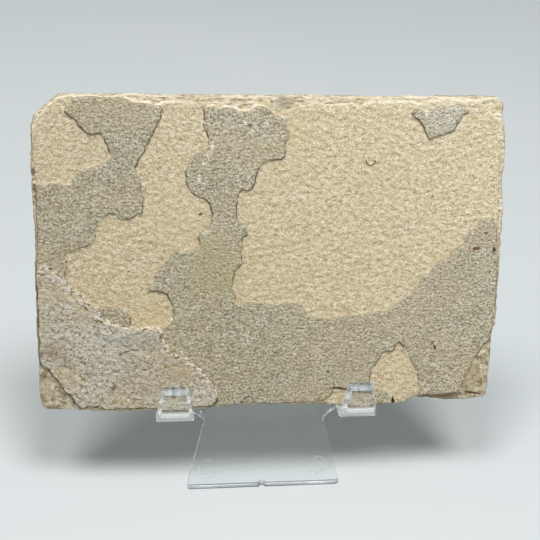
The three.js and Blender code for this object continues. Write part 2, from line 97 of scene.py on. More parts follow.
def add_camera():
    camera = bpy.data.objects.new("camera", bpy.data.cameras.new("camera"))
    bpy.context.collection.objects.link(camera)
    camera.data.lens = LENS
    camera.data.sensor_width = SENSOR_WIDTH
    camera.data.clip_start = NEAREST_SEEN
    turn = (Matrix.Rotation(-CAMERA_LEFT, 4, "Z") @ Matrix.Rotation(math.pi / 2 - CAMERA_ABOVE, 4, "X")
            @ Matrix.Rotation(CAMERA_ROLL, 4, "Z"))
    camera.matrix_world = Matrix.Translation(AIM) @ turn @ Matrix.Translation((0, 0, CAMERA_DISTANCE))
    bpy.context.scene.camera = camera
    return camera


camera = add_camera()
print("camera at", [round(c, 4) for c in camera.matrix_world.translation])

# %% [markdown]
# Helpers for node materials
#
# A material is a small graph. These helpers add one node each and wire it, so that each
# material below reads as a recipe: what is sampled, how large its grains are, how it is mixed.

# %% Node helpers
def rgb(red, green, blue):
    """A colour as on a paint card, 0 to 255 each, turned into the linear values that shaders use."""
    def linear(value):
        value /= 255
        return value / 12.92 if value <= 0.04045 else ((value + 0.055) / 1.055) ** 2.4
    return (linear(red), linear(green), linear(blue), 1.0)


class Graph:
    """A material's node tree, with one short method for each kind of node used here."""

    def __init__(self, name):
        self.material = bpy.data.materials.new(name)
        self.material.use_nodes = True
        self.tree = self.material.node_tree
        self.tree.nodes.clear()
        self.output = self.tree.nodes.new("ShaderNodeOutputMaterial")
        self.shader = self.tree.nodes.new("ShaderNodeBsdfPrincipled")
        self.tree.links.new(self.shader.outputs["BSDF"], self.output.inputs["Surface"])

    def feed(self, node, inputs):
        """Gives a node its inputs: another node's output is wired, anything else is a constant."""
        for key, value in inputs.items():
            if isinstance(value, bpy.types.NodeSocket):
                self.tree.links.new(value, node.inputs[key])
            else:
                node.inputs[key].default_value = value

    def node(self, kind, inputs=None, **settings):
        made = self.tree.nodes.new(kind)
        for key, value in settings.items():
            setattr(made, key, value)
        self.feed(made, inputs or {})
        return made

    def finish(self, inputs, height, strength=1.0, distance=MM):
        """Feeds the shader, with a bump from a height, and gives back the material."""
        bump = self.node("ShaderNodeBump", {"Strength": strength, "Distance": distance, "Height": height})
        self.feed(self.shader, {**inputs, "Normal": bump.outputs["Normal"]})
        return self.material

    def axis(self, coordinates, name):
        """One coordinate out of three: X across, Y up or Z out, in a leaning frame."""
        return self.node("ShaderNodeSeparateXYZ", {"Vector": coordinates}).outputs[name]

    def math(self, operation, first, second=0.0, third=0.0, clamp=False):
        return self.node("ShaderNodeMath", {0: first, 1: second, 2: third}, operation=operation,
                         use_clamp=clamp).outputs[0]

    def spread(self, value, low, high, to_low=0.0, to_high=1.0, smooth=False):
        """Stretches low..high of a value to to_low..to_high, and holds it there."""
        kind = "SMOOTHSTEP" if smooth else "LINEAR"
        return self.node("ShaderNodeMapRange", {"Value": value, "From Min": low, "From Max": high,
                                                "To Min": to_low, "To Max": to_high},
                         interpolation_type=kind).outputs["Result"]

    def mix(self, factor, first, second, blend="MIX"):
        made = self.node("ShaderNodeMix", {0: factor, 6: first, 7: second}, data_type="RGBA",
                         blend_type=blend)
        return made.outputs[2]

    def blend_value(self, factor, first, second):
        return self.node("ShaderNodeMix", {0: factor, 2: first, 3: second}).outputs[0]

    def ramp(self, value, *stops):
        made = self.node("ShaderNodeValToRGB", {"Fac": value})
        elements = made.color_ramp.elements
        while len(elements) < len(stops):
            elements.new(0.5)
        for element, (place, colour) in zip(elements, stops):
            element.position = place
            element.color = colour
        return made.outputs["Color"]

    def millimetres(self, place):
        """Object coordinates in a leaning frame, in millimetres."""
        source = self.node("ShaderNodeTexCoord").outputs["Object"]
        location, rotation, _ = place.decompose()
        return self.node("ShaderNodeMapping", {"Vector": source, "Location": location,
                                               "Rotation": rotation.to_euler(), "Scale": (MM, MM, MM)},
                         vector_type="TEXTURE").outputs["Vector"]

    def grains(self, coordinates, size, turn=0.0, detail=2.0, roughness=0.5, shift=0.0):
        """Soft noise whose grains are about size = (across, up, out) millimetres."""
        moved = self.node("ShaderNodeMapping",
                          {"Vector": coordinates, "Location": (shift, 0.7 * shift, 0.3 * shift),
                           "Rotation": (0, 0, turn), "Scale": tuple(0.5 / s for s in size)}).outputs["Vector"]
        return self.node("ShaderNodeTexNoise", {"Vector": moved, "Scale": 1.0, "Detail": detail,
                                                "Roughness": roughness}).outputs["Fac"]

    def attribute(self, name):
        return self.node("ShaderNodeAttribute", attribute_name=name).outputs["Fac"]


# %% [markdown]
# Floor and light
#
# The set is a pale sweep: a floor that curves up into a wall behind, and so wide that from the
# front no edge shows. From behind, its far end shows as a darker band. Two round soft boxes
# hang high in front, one to each side, which gives the stone a soft shadow under and behind
# it. A weak panel in front and a pale surround fill the rest. Two cards stand at the sides
# only to be mirrored in the clear plastic.

# %% Floor
FLOOR_WIDTH = 60.0
FLOOR_GAP = 0.05 * MM  # air under the clear foot, so that light leaves it as from real plastic
FLOOR_FRONT = -30.0
FLOOR_BACK = 1.6
SWEEP_RADIUS = 0.8
SWEEP_STEPS = 16
WALL_HEIGHT = 2.5
FIBRE_STRENGTH = 0.05
FIBRE_HEIGHT = 0.1 * MM


def floor_material():
    g = Graph("pale_paper")
    here = g.millimetres(Matrix())
    cloudy = g.grains(here, (160, 160, 160))
    fibre = g.grains(here, (1.2, 1.2, 1.2), detail=3)
    tone = g.ramp(cloudy, (0.3, rgb(209, 213, 214)), (0.7, rgb(213, 216, 216)))
    return g.finish({"Base Color": tone, "Roughness": 0.7, "Specular IOR Level": 0.25}, fibre,
                    FIBRE_STRENGTH, FIBRE_HEIGHT)


def add_floor():
    bm = bmesh.new()
    rail = [bm.verts.new((-FLOOR_WIDTH / 2, y, -FLOOR_GAP)) for y in (FLOOR_FRONT, FLOOR_BACK)]
    bm.edges.new(rail)
    bend = bmesh.ops.spin(bm, geom=[rail[1]], cent=(-FLOOR_WIDTH / 2, FLOOR_BACK, SWEEP_RADIUS),
                          axis=(1, 0, 0), angle=math.pi / 2, steps=SWEEP_STEPS)
    top = [v for v in bend["geom_last"] if isinstance(v, bmesh.types.BMVert)]
    wall = bmesh.ops.extrude_vert_indiv(bm, verts=top)
    bmesh.ops.translate(bm, verts=wall["verts"], vec=(0, 0, WALL_HEIGHT))
    sheet = bmesh.ops.extrude_edge_only(bm, edges=list(bm.edges))
    moved = [v for v in sheet["geom"] if isinstance(v, bmesh.types.BMVert)]
    bmesh.ops.translate(bm, verts=moved, vec=(FLOOR_WIDTH, 0, 0))
    bmesh.ops.recalc_face_normals(bm, faces=list(bm.faces))
    mesh = bpy.data.meshes.new("floor")
    bm.to_mesh(mesh)
    bm.free()
    mesh.shade_smooth()
    floor = bpy.data.objects.new("floor", mesh)
    bpy.context.collection.objects.link(floor)
    mesh.materials.append(floor_material())
    return floor


floor = add_floor()
print("floor faces:", len(floor.data.polygons))

# %% Light
SOFT_BOXES = (  # name, compass angle from the front, height angle, distance, diameter, power
    ("main_soft_box", 23, 66, 2.0, 0.68, 20.7),
    ("side_soft_box", -43, 66, 2.95, 0.97, 34.2),
)
TABLE_MIDDLE = Vector((0, 0, 0))
STONE_MIDDLE = Vector((0, 0, 0.05))
PANEL_PLACE = Vector((0.0, -2.1, 0.8))
PANEL_SIZE = 2.4
PANEL_POWER = 2.8
CARD_PLACE = (0.9, -0.25, 0.4)
CARD_SIZE = 1.2
CARD_POWER = 6.0
SURROUND = (0.76, 0.84, 0.85, 1.0)
SURROUND_STRENGTH = 0.37
CLEAR_BOUNCES = 24  # light is thrown to and fro inside the clear hooks before it comes out


def add_light(name, place, aim, size, power):
    """A round soft light that can't be seen itself."""
    lamp = bpy.data.lights.new(name, "AREA")
    lamp.shape = "DISK"
    lamp.size = size
    lamp.energy = power
    light = bpy.data.objects.new(name, lamp)
    facing = (place - aim).to_track_quat("Z", "Y").to_matrix().to_4x4()
    light.matrix_world = Matrix.Translation(place) @ facing
    bpy.context.collection.objects.link(light)
    light.visible_camera = False
    return light


def add_surround():
    world = bpy.data.worlds.new("surround")
    world.use_nodes = True
    background = world.node_tree.nodes["Background"]
    background.inputs["Color"].default_value = SURROUND
    background.inputs["Strength"].default_value = SURROUND_STRENGTH
    bpy.context.scene.world = world


for name, around, above, distance, size, power in SOFT_BOXES:
    around = math.radians(around)
    above = math.radians(above)
    place = distance * Vector((math.sin(around) * math.cos(above), -math.cos(around) * math.cos(above),
                               math.sin(above)))
    add_light(name, place, TABLE_MIDDLE, size, power)
    print(name, "at", [round(c, 2) for c in place], "power", power)
add_light("front_panel", PANEL_PLACE, STONE_MIDDLE, PANEL_SIZE, PANEL_POWER)
for side in (-1, 1):
    place = Vector((side * CARD_PLACE[0], *CARD_PLACE[1:]))
    card = add_light("reflection_card", place, STONE_MIDDLE, CARD_SIZE, CARD_POWER)
    card.visible_diffuse = False  # it lights nothing; it only shows in gloss and in clear edges
add_surround()
bpy.context.scene.view_settings.view_transform = "Standard"
bpy.context.scene.cycles.max_bounces = CLEAR_BOUNCES
bpy.context.scene.cycles.transmission_bounces = CLEAR_BOUNCES
bpy.context.scene.cycles.glossy_bounces = CLEAR_BOUNCES

# %% [markdown]
# The stone's mesh
#
# The solid has the stone's outlines and ledges, but flat facets. A real split surface is
# grainy all over, and its ledges crumble. So a merged copy of the solid is rebuilt by a voxel
# remesh as an even net of small faces. Its points are moved along the face first, which turns
# smooth outlines into broken ones, least near the rim, where the stone must keep its size.
# Further on they are moved in or out, by noise that differs on each bed.

# %% Copy the solid into the leaning frame
SAME_POINT = 0.002 * MM


def merged_copy(node_name, place):
    """A closed copy of a CAD node's mesh, in the units and axes of a leaning frame."""
    bm = bmesh.new()
    bm.from_mesh(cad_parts[node_name].data)
    bmesh.ops.remove_doubles(bm, verts=list(bm.verts), dist=SAME_POINT)
    bmesh.ops.transform(bm, matrix=place.inverted(), verts=list(bm.verts))
    mesh = bpy.data.meshes.new(node_name + "_copy")
    bm.to_mesh(mesh)
    bm.free()
    return mesh


def with_modifier(mesh, kind, settings, only=None):
    """The mesh after one modifier, which may be held to some of its points."""
    carrier = bpy.data.objects.new("carrier", mesh)
    bpy.context.collection.objects.link(carrier)
    modifier = carrier.modifiers.new(kind.lower(), kind)
    for key, value in settings.items():
        setattr(modifier, key, value)
    if only is not None:
        group = carrier.vertex_groups.new(name="only")
        group.add([int(i) for i in np.flatnonzero(only)], 1.0, "REPLACE")
        modifier.vertex_group = group.name
    bpy.context.view_layer.update()
    evaluated = carrier.evaluated_get(bpy.context.evaluated_depsgraph_get())
    finished = bpy.data.meshes.new_from_object(evaluated)
    bpy.data.objects.remove(carrier)
    return finished


# %% An even net, pulled about a little
def points_of(mesh):
    flat = np.empty(3 * len(mesh.vertices))
    mesh.vertices.foreach_get("co", flat)
    return flat.reshape(-1, 3)


def normals_of(mesh):
    return np.array([v.normal[:] for v in mesh.vertices])


def move_points(mesh, points):
    mesh.vertices.foreach_set("co", points.ravel())
    mesh.update()


SEED_STEP = np.array([17.3, 5.1, 11.9])  # each seed samples the noise in another place


def noise_field(points, size, seed, octaves=1):
    """Noise from about -1 to 1, with lumps of about size = (across, up, out) millimetres."""
    scaled = points / np.array(size) + seed * SEED_STEP
    if octaves == 1:
        return np.array([noise.noise(p) for p in scaled])
    return np.array([noise.fractal(p, 1.0, 2.0, octaves) for p in scaled])


GRAIN = 0.45  # the net's spacing on the front, millimetres
WANDER = 0.42  # how far a ledge's outline strays, millimetres
RIM_WANDER = 0.3  # the share of it that is left at the rim
RIM_REACH = 3  # how far in from the rim it is held back
RIM_SIDE = 75.5  # the rim's sides, its foot and its top
RIM_FOOT = 0.5
RIM_TOP = 102.5


def make_ragged(mesh):
    """Moves the points along the face, so that straight and smooth outlines become broken ones."""
    points = points_of(mesh)
    x, y = points[:, 0], points[:, 1]
    inside = np.minimum(RIM_SIDE - np.abs(x), np.minimum(y - RIM_FOOT, RIM_TOP - y))
    share = RIM_WANDER + (1 - RIM_WANDER) * np.clip(inside / RIM_REACH, 0, 1)
    for axis in (0, 1):
        coarse = noise_field(points, (3.2, 3.2, 30), 21 + axis)
        fine = noise_field(points, (1.3, 1.3, 30), 31 + axis)
        points[:, axis] += share * WANDER * (coarse + 0.75 * fine)
    move_points(mesh, points)


slab_mesh = with_modifier(merged_copy("slab", stone_frame), "REMESH",
                          {"mode": "VOXEL", "voxel_size": GRAIN})
make_ragged(slab_mesh)
print("even net:", len(slab_mesh.vertices), "points,", len(slab_mesh.polygons), "faces")

# %% [markdown]
# Which bed is where
#
# Each point's height above the back says which bed it lies on, as on the real stone: below
# the cream bed the frayed sheets of the rim, above it the grey remnants, then the rough bed.
# The two broken corners are told by their place, and sides, ledges and their edges by which way
# the net faces. These are stored on the mesh as masks from 0 to 1, for the relief below and for
# the material. The mask of the hollows is the one that also goes below 0, on what stands out.

# %% Masks
def smoothstep(value, low, high):
    t = np.clip((value - low) / (high - low), 0, 1)
    return t * t * (3 - 2 * t)


def left_of(points, start, end):
    """How far a point lies to the left of the line from start to end, seen on the face."""
    (x0, y0), (x1, y1) = start, end
    length = math.hypot(x1 - x0, y1 - y0)
    return ((x1 - x0) * (points[:, 1] - y0) - (y1 - y0) * (points[:, 0] - x0)) / length


def edges_of(mesh):
    flat = np.empty(2 * len(mesh.edges), dtype=np.int64)
    mesh.edges.foreach_get("vertices", flat)
    return flat.reshape(-1, 2)


def blurred(values, edges, rounds):
    """Values averaged with their neighbours' along the net, a few times."""
    count = np.bincount(edges.ravel(), minlength=len(values))
    for _ in range(rounds):
        near = np.bincount(edges[:, 0], values[edges[:, 1]], minlength=len(values))
        near += np.bincount(edges[:, 1], values[edges[:, 0]], minlength=len(values))
        values = 0.5 * values + 0.5 * near / np.maximum(count, 1)
    return values


# Heights above the back between which one bed gives way to the next, in millimetres.
SHEETS_END = (6.5, 6.7)
CREAM_EDGE_ENDS = (6.7, 7.1)
CHIPS_END = (7.3, 7.6)
ARRIS_BEGINS = (5.7, 6.2)
ARRIS_ENDS = (7.1, 7.3)
LEDGES_BEGIN = (6.95, 7.1)
GREY_BEGINS = (7.25, 7.45)
ROUGH_BEGINS = (8.0, 8.25)
# How a point faces: its normal's share along an axis of the leaning frame.
STEEP = (0.06, 0.30)
OUTWARDS = (0.35, 0.75)
BACKWARDS = (0.3, 0.7)
UPWARDS = (0.3, 0.6)
SCALLOP = (-7.6, 0.6)  # a small shell-shaped hollow at the bottom edge, in grey stone
SCALLOP_RIM = (3.6, 4.0)
LEFT_BREAK = ((-76, 17), (-62.8, 0.6))  # the lines along which the lower corners broke off
RIGHT_BREAK_UPPER = ((75, 21.5), (69.3, 13))
RIGHT_BREAK_LOWER = ((69.3, 13), (64.8, 2))


def make_masks(mesh):
    points = points_of(mesh)
    edges = edges_of(mesh)
    normals = normals_of(mesh)
    height = points[:, 2]
    lower_left = -left_of(points, *LEFT_BREAK)
    lower_right = np.minimum(left_of(points, *RIGHT_BREAK_UPPER), left_of(points, *RIGHT_BREAK_LOWER))
    chips = np.maximum(lower_left, lower_right)
    facing = np.stack([blurred(normals[:, axis], edges, 1) for axis in range(3)], axis=1)
    up = facing[:, 1]
    out = np.abs(facing[:, 2])
    steep = smoothstep(1 - out, *STEEP)
    around = np.stack([blurred(points[:, axis], edges, 5) for axis in range(3)], axis=1)
    masks = {}
    masks["grey"] = smoothstep(height, *GREY_BEGINS)
    from_scallop = np.hypot(points[:, 0] - SCALLOP[0], points[:, 1] - SCALLOP[1])
    in_scallop = (height > 3) * (1 - smoothstep(from_scallop, *SCALLOP_RIM))
    masks["grey"] = np.maximum(masks["grey"], in_scallop)
    masks["rough"] = smoothstep(height, *ROUGH_BEGINS)
    masks["rim"] = 1 - smoothstep(height, *SHEETS_END)
    masks["chip"] = smoothstep(chips, -0.3, 0.1) * (1 - smoothstep(height, *CHIPS_END))
    masks["side"] = 1 - smoothstep(out, *OUTWARDS)
    masks["side"] *= (1 - smoothstep(height, *CREAM_EDGE_ENDS)) * (1 - smoothstep(up, *UPWARDS))
    # The front's outer edge, where it faces up, gets a painted highlight.
    masks["arris_highlight"] = steep * smoothstep(height, *ARRIS_BEGINS) * (1 - smoothstep(height, *ARRIS_ENDS))
    masks["arris_highlight"] *= smoothstep(up, 0.10, 0.35)
    masks["back"] = smoothstep(-normals[:, 2], *BACKWARDS)
    ledge = steep * smoothstep(height, *LEDGES_BEGIN)
    # Ledges that face down get painted shade under them.
    masks["ledge_under"] = ledge * (1 - smoothstep(up, -0.05, 0.22))
    near_rough = smoothstep(blurred(masks["rough"], edges, 4), 0.02, 0.15)
    # Ledges that face up get a painted darker tone.
    over = ledge * smoothstep(up, 0.0, 0.25)
    masks["ledge_over"] = over * (1 - near_rough)
    # The rough bed's edge that faces up gets its pale crust, partly a painted highlight.
    masks["crust_and_highlight"] = over * near_rough
    masks["crust_and_highlight_band"] = np.clip(3 * blurred(masks["crust_and_highlight"], edges, 12), 0, 1)
    # Hollows get painted shade, and what stands out gets a painted highlight.
    masks["hollow"] = np.clip(((around - points) * normals).sum(axis=1), -0.5, 0.5)
    return masks


masks = make_masks(slab_mesh)
print({name: round(float(mask.mean()), 3) for name, mask in masks.items()})

# %% [markdown]
# The relief
#
# Cream: low ripples, longer across than up. Grey: finer and pitted. Rough: lumps and flakes
# of about half a millimetre. The sides: thin layers that stand out and draw back, as the edges
# of a book do. Each line below adds noise of a size, (across, up, out) millimetres, and a seed,
# times a height in millimetres. The finest grain is left to the material's bump.

# %% Relief
SIDE_GROWTH = 0.25  # the remesh rounds the edges off a little; this gives it back
BACK_DRAWN_IN = 0.15
CHIP_SHARE = 0.6  # the broken corners are lumpy too, but less than the rough bed


def flakes_field(points, size, seed, steps):
    """Noise cut into terraces, as where thin sheets have broken off one by one."""
    smooth = steps * (0.5 + 0.5 * noise_field(points, size, seed, octaves=2))
    whole = np.floor(smooth)
    return (whole + smoothstep(smooth - whole, 0.75, 1.0)) / steps - 0.5


def add_relief(mesh, masks):
    points = points_of(mesh)
    normals = normals_of(mesh)
    ripple = noise_field(points, (1.5, 0.85, 1.5), 1) * 0.15
    ripple += noise_field(points, (6, 3.5, 8), 2) * 0.16
    pitted = noise_field(points, (1.0, 0.9, 1.0), 3) * 0.15
    pitted += noise_field(points, (4, 3, 4), 4) * 0.12
    lumpy = noise_field(points, (2.0, 1.6, 2.0), 5, octaves=3) * 0.42
    lumpy += flakes_field(points, (4.2, 3.3, 4.2), 9, 4) * 0.9
    flaky = noise_field(points, (2.5, 1.0, 2), 6, octaves=2) * 0.25
    flaky += flakes_field(points, (7, 2, 3), 10, 4) * 0.8
    layered = flakes_field(points, (14, 14, 1.2), 7, 3) * 0.45
    layered += noise_field(points, (1.6, 1.6, 0.9), 8) * 0.25
    split = noise_field(points, (3, 2, 3), 12, octaves=3) * 0.12
    split += flakes_field(points, (18, 12, 18), 13, 3) * 0.5
    relief = ripple
    for name, wanted in (("grey", pitted), ("rough", lumpy), ("rim", flaky), ("chip", CHIP_SHARE * lumpy),
                         ("side", layered + SIDE_GROWTH), ("back", split - BACK_DRAWN_IN)):
        relief = relief + (wanted - relief) * masks[name]
    move_points(mesh, points + normals * relief[:, None])
    return relief


relief = add_relief(slab_mesh, masks)
print("relief from", round(float(relief.min()), 3), "to", round(float(relief.max()), 3), "mm")

# %% [markdown]
# The back
#
# The stone's back is a plain split face, and nearly flat, so it needs far fewer faces than the
# front. Its net is collapsed where it is flattest, and the front keeps every point.

# %% Thin the back
BACK_LEVEL = 2.5  # millimetres above the back
KEPT_SHARE = 0.535


def thin_back(mesh):
    return with_modifier(mesh, "DECIMATE", {"ratio": KEPT_SHARE}, only=points_of(mesh)[:, 2] < BACK_LEVEL)


# %% [markdown]
# The stone on its hooks
#
# The solids leave a seat gap under the stone. The relief would use it up and sink its coarsest
# grains into the plastic, so points that come too near are pressed back to just off the stand.

# %% Keep the relief out of the hooks
REST_CLEARANCE = 0.15  # millimetres
HOOK_REACH = 12  # no hook rises further than this above the stone's bottom edge


def keep_off_stand(mesh):
    """Presses the stone's points back until they clear the stand that carries it."""
    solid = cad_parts["stand"].data
    corners = [v.co.copy() for v in solid.vertices]
    surface = BVHTree.FromPolygons(corners, [p.vertices[:] for p in solid.polygons])
    to_stone = stone_frame.inverted()
    pressed = 0
    for vertex in mesh.vertices:
        if vertex.co.y > HOOK_REACH:
            continue
        place = stone_frame @ vertex.co
        nearest, normal, _, distance = surface.find_nearest(place, MM)
        if nearest is None:
            continue
        outside = distance if (place - nearest).dot(normal) > 0 else -distance
        if outside < REST_CLEARANCE * MM:
            vertex.co = to_stone @ (nearest + normal * REST_CLEARANCE * MM)
            pressed += 1
    mesh.update()
    return pressed


# %% Finish the stone's object
def keep_masks(mesh, masks):
    for name, mask in masks.items():
        layer = mesh.attributes.new(name, "FLOAT", "POINT")
        layer.data.foreach_set("value", mask.astype(np.float32))


def place_piece(name, mesh, place):
    """Puts a mesh made in a leaning frame at its place, with its object at the origin."""
    mesh.transform(place)
    mesh.shade_smooth()
    piece = bpy.data.objects.new(name, mesh)
    bpy.context.collection.objects.link(piece)
    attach(piece, "root")
    return piece


keep_masks(slab_mesh, masks)
slab_mesh = thin_back(slab_mesh)
print("pressed back from the stand:", keep_off_stand(slab_mesh), "points")
slab_mesh.calc_loop_triangles()
print("after thinning:", len(slab_mesh.loop_triangles), "triangles")
stone = place_piece("limestone_slab", slab_mesh, stone_frame)
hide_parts("slab")
print("stone:", len(stone.data.vertices), "points")

# %% [markdown]
# The limestone's finish
#
# One material holds every bed. Each bed is a small recipe of grains at its own size and in
# its own colours, and gives a colour and a height for the bump. The masks choose between them.
# Shade is painted in: dark colour in the hollows and under the ledges that face down, a
# darker tone on the ledges that face up, and a face a little darker towards its foot and its
# left side. Highlights are painted in too: paler stone on what stands out, along the front's
# outer edge where it faces up, and partly in the rough bed's pale crust.

# %% Beds
def cream_bed(g, here):
    ripples = g.grains(here, (0.85, 0.65, 0.85), turn=0.5, detail=4, roughness=0.7)
    fine = g.grains(here, (0.26, 0.22, 0.26), detail=2, roughness=0.6, shift=7)
    cloudy = g.grains(here, (22, 14, 22), shift=5)
    both = g.blend_value(0.58, ripples, fine)
    colour = g.ramp(both, (0.33, rgb(160, 135, 99)), (0.5, rgb(217, 200, 166)), (0.63, rgb(243, 234, 214)))
    tinted = g.mix(g.spread(cloudy, 0.45, 0.7, 0.0, 0.3), colour, rgb(218, 198, 160))
    relief = g.grains(here, (0.95, 0.8, 0.95), turn=0.6, detail=3, roughness=0.55, shift=101)
    return tinted, g.math("MULTIPLY", g.blend_value(0.15, relief, ripples), 1.4)


def grey_bed(g, here):
    grain = g.grains(here, (0.37, 0.33, 0.37), detail=4, roughness=0.8, shift=11)
    clumps = g.grains(here, (2.2, 1.6, 2.2), detail=4, roughness=0.7, shift=13)
    dark = g.grains(here, (0.5, 0.34, 0.5), turn=0.4, detail=2, shift=19)
    pale = g.grains(here, (0.6, 0.36, 0.6), turn=-0.5, detail=3, roughness=0.7, shift=27)
    cloudy = g.grains(here, (9, 6, 9), shift=17)
    colour = g.ramp(grain, (0.36, rgb(110, 98, 78)), (0.5, rgb(205, 194, 167)), (0.635, rgb(248, 242, 224)))
    colour = g.mix(g.spread(clumps, 0.42, 0.66, 0.0, 0.4), colour, rgb(169, 157, 129))
    colour = g.mix(g.spread(dark, 0.60, 0.72, 0.0, 0.8), colour, rgb(104, 94, 75))
    colour = g.mix(g.spread(pale, 0.60, 0.74, 0.0, 0.55), colour, rgb(247, 240, 220))
    colour = g.mix(g.spread(cloudy, 0.45, 0.7, 0.0, 0.3), colour, rgb(209, 193, 151))
    relief = g.grains(here, (0.55, 0.45, 0.55), detail=3, roughness=0.55, shift=103)
    return colour, g.math("MULTIPLY", relief, 1.5)


def rough_bed(g, here):
    mottle = g.grains(here, (0.5, 0.42, 0.5), turn=0.5, detail=5, roughness=0.84, shift=23)
    pits = g.grains(here, (0.7, 0.55, 0.7), turn=0.6, detail=4, roughness=0.75, shift=43)
    pale = g.grains(here, (1.1, 0.7, 1.1), turn=0.5, detail=4, roughness=0.75, shift=47)
    cloudy = g.grains(here, (7, 5, 7), shift=29)
    colour = g.ramp(mottle, (0.41, rgb(146, 126, 99)), (0.5, rgb(250, 238, 215)), (0.58, rgb(255, 252, 244)))
    colour = g.mix(g.spread(cloudy, 0.48, 0.7, 0.0, 0.45), colour, rgb(243, 217, 164))
    colour = g.mix(g.spread(cloudy, 0.47, 0.36, 0.0, 0.25), colour, rgb(236, 233, 226))
    colour = g.mix(g.spread(pits, 0.565, 0.64, 0.0, 0.8), colour, rgb(118, 98, 74))
    colour = g.mix(g.spread(pale, 0.54, 0.61, 0.0, 0.9), colour, rgb(255, 252, 246))
    relief = g.grains(here, (0.9, 0.7, 0.9), turn=0.6, detail=4, roughness=0.6, shift=107)
    return colour, g.math("MULTIPLY", g.blend_value(0.4, relief, pale), 4.3)


def rim_sheets(g, here):
    flakes = g.grains(here, (1.4, 0.5, 0.7), detail=5, roughness=0.75, shift=31)
    spots = g.grains(here, (1.0, 0.5, 0.6), detail=3, shift=33)
    colour = g.ramp(flakes, (0.35, rgb(164, 136, 98)), (0.49, rgb(227, 211, 178)), (0.62, rgb(244, 236, 217)))
    colour = g.mix(g.spread(spots, 0.60, 0.72, 0.0, 0.85), colour, rgb(120, 91, 60))
    relief = g.grains(here, (1.3, 0.5, 0.7), detail=3, roughness=0.55, shift=109)
    return colour, g.math("MULTIPLY", relief, 1.4)


def broken_corner(g, here):
    lumps = g.grains(here, (1.3, 1.3, 1.3), detail=5, roughness=0.7, shift=37)
    colour = g.ramp(lumps, (0.37, rgb(142, 125, 96)), (0.51, rgb(219, 206, 177)), (0.64, rgb(248, 241, 221)))
    relief = g.grains(here, (0.9, 0.8, 0.9), turn=0.5, detail=4, roughness=0.6, shift=127)
    return colour, g.math("MULTIPLY", relief, 2.1)


def layered_side(g, here):
    layers = g.grains(here, (6, 6, 0.35), detail=4, roughness=0.65, shift=41)
    grain = g.grains(here, (0.6, 0.6, 0.4), detail=3, roughness=0.7, shift=53)
    both = g.blend_value(0.5, layers, grain)
    colour = g.ramp(both, (0.36, rgb(122, 95, 66)), (0.5, rgb(196, 175, 137)), (0.64, rgb(246, 232, 202)))
    return colour, g.grains(here, (3, 3, 0.4), detail=3, roughness=0.5, shift=113)


def back_face(g, here):
    grain = g.grains(here, (0.5, 0.38, 0.5), detail=4, roughness=0.75, shift=59)
    lumps = g.grains(here, (2.6, 1.7, 2.6), turn=0.3, detail=5, roughness=0.65, shift=63)
    cloudy = g.grains(here, (16, 9, 16), detail=4, roughness=0.6, shift=61)
    stain = g.grains(here, (26, 20, 26), detail=3, shift=67)
    both = g.blend_value(0.5, grain, lumps)
    colour = g.ramp(both, (0.36, rgb(158, 138, 104)), (0.5, rgb(209, 194, 160)), (0.62, rgb(240, 229, 202)))
    colour = g.mix(g.spread(cloudy, 0.49, 0.53, 0.0, 0.5), colour, rgb(176, 166, 142))
    colour = g.mix(g.spread(stain, 0.52, 0.7, 0.0, 0.35), colour, rgb(188, 156, 108))
    return colour, g.math("MULTIPLY", g.blend_value(0.4, grain, lumps), 2.2)


# %% [markdown]
# Stains, specks and scratches
#
# The stone has its own marks: tinted areas, dark specks, a few pale scratches and one small
# crescent. Each is an ellipse of colour laid over the beds, with a ragged outline, at its
# place on the face: (x, y), half its width and height, its turn in degrees, colour, strength.
# An ellipse has no depth, so the marks are kept to the front, or they would show behind too.

# %% Marks
TINTS = [
    ((-18.5, 46), (8, 10), 0, rgb(182, 167, 122), 0.35),  # olive part of the grey column
    ((7, 92), (5, 6), 20, rgb(206, 182, 126), 0.15),  # yellow cream by the column's top
    ((-40, 32), (7, 5), 0, rgb(215, 185, 128), 0.2),  # yellow cream above the rough bed
    ((56, 54), (6, 5), 0, rgb(223, 189, 135), 0.1),
    ((-39, 11), (12, 9), 10, rgb(187, 166, 122), 0.3),  # yellow part of the rough bed
    ((-43, 23.5), (8, 2.4), 0, rgb(161, 152, 135), 0.35),  # grey strip above it
    ((-71, 20.5), (4, 2.8), 0, rgb(152, 128, 94), 0.45),
    ((3.4, 101), (2.6, 1.8), 0, rgb(163, 156, 135), 0.8),  # a grey remnant in the rim
    ((71, 8), (4, 8), -15, rgb(172, 148, 110), 0.45),  # the lower right corner's floor
    ((58, 0.7), (9, 1.9), -1, rgb(106, 85, 59), 0.8),  # brown edge below the grey bed
]
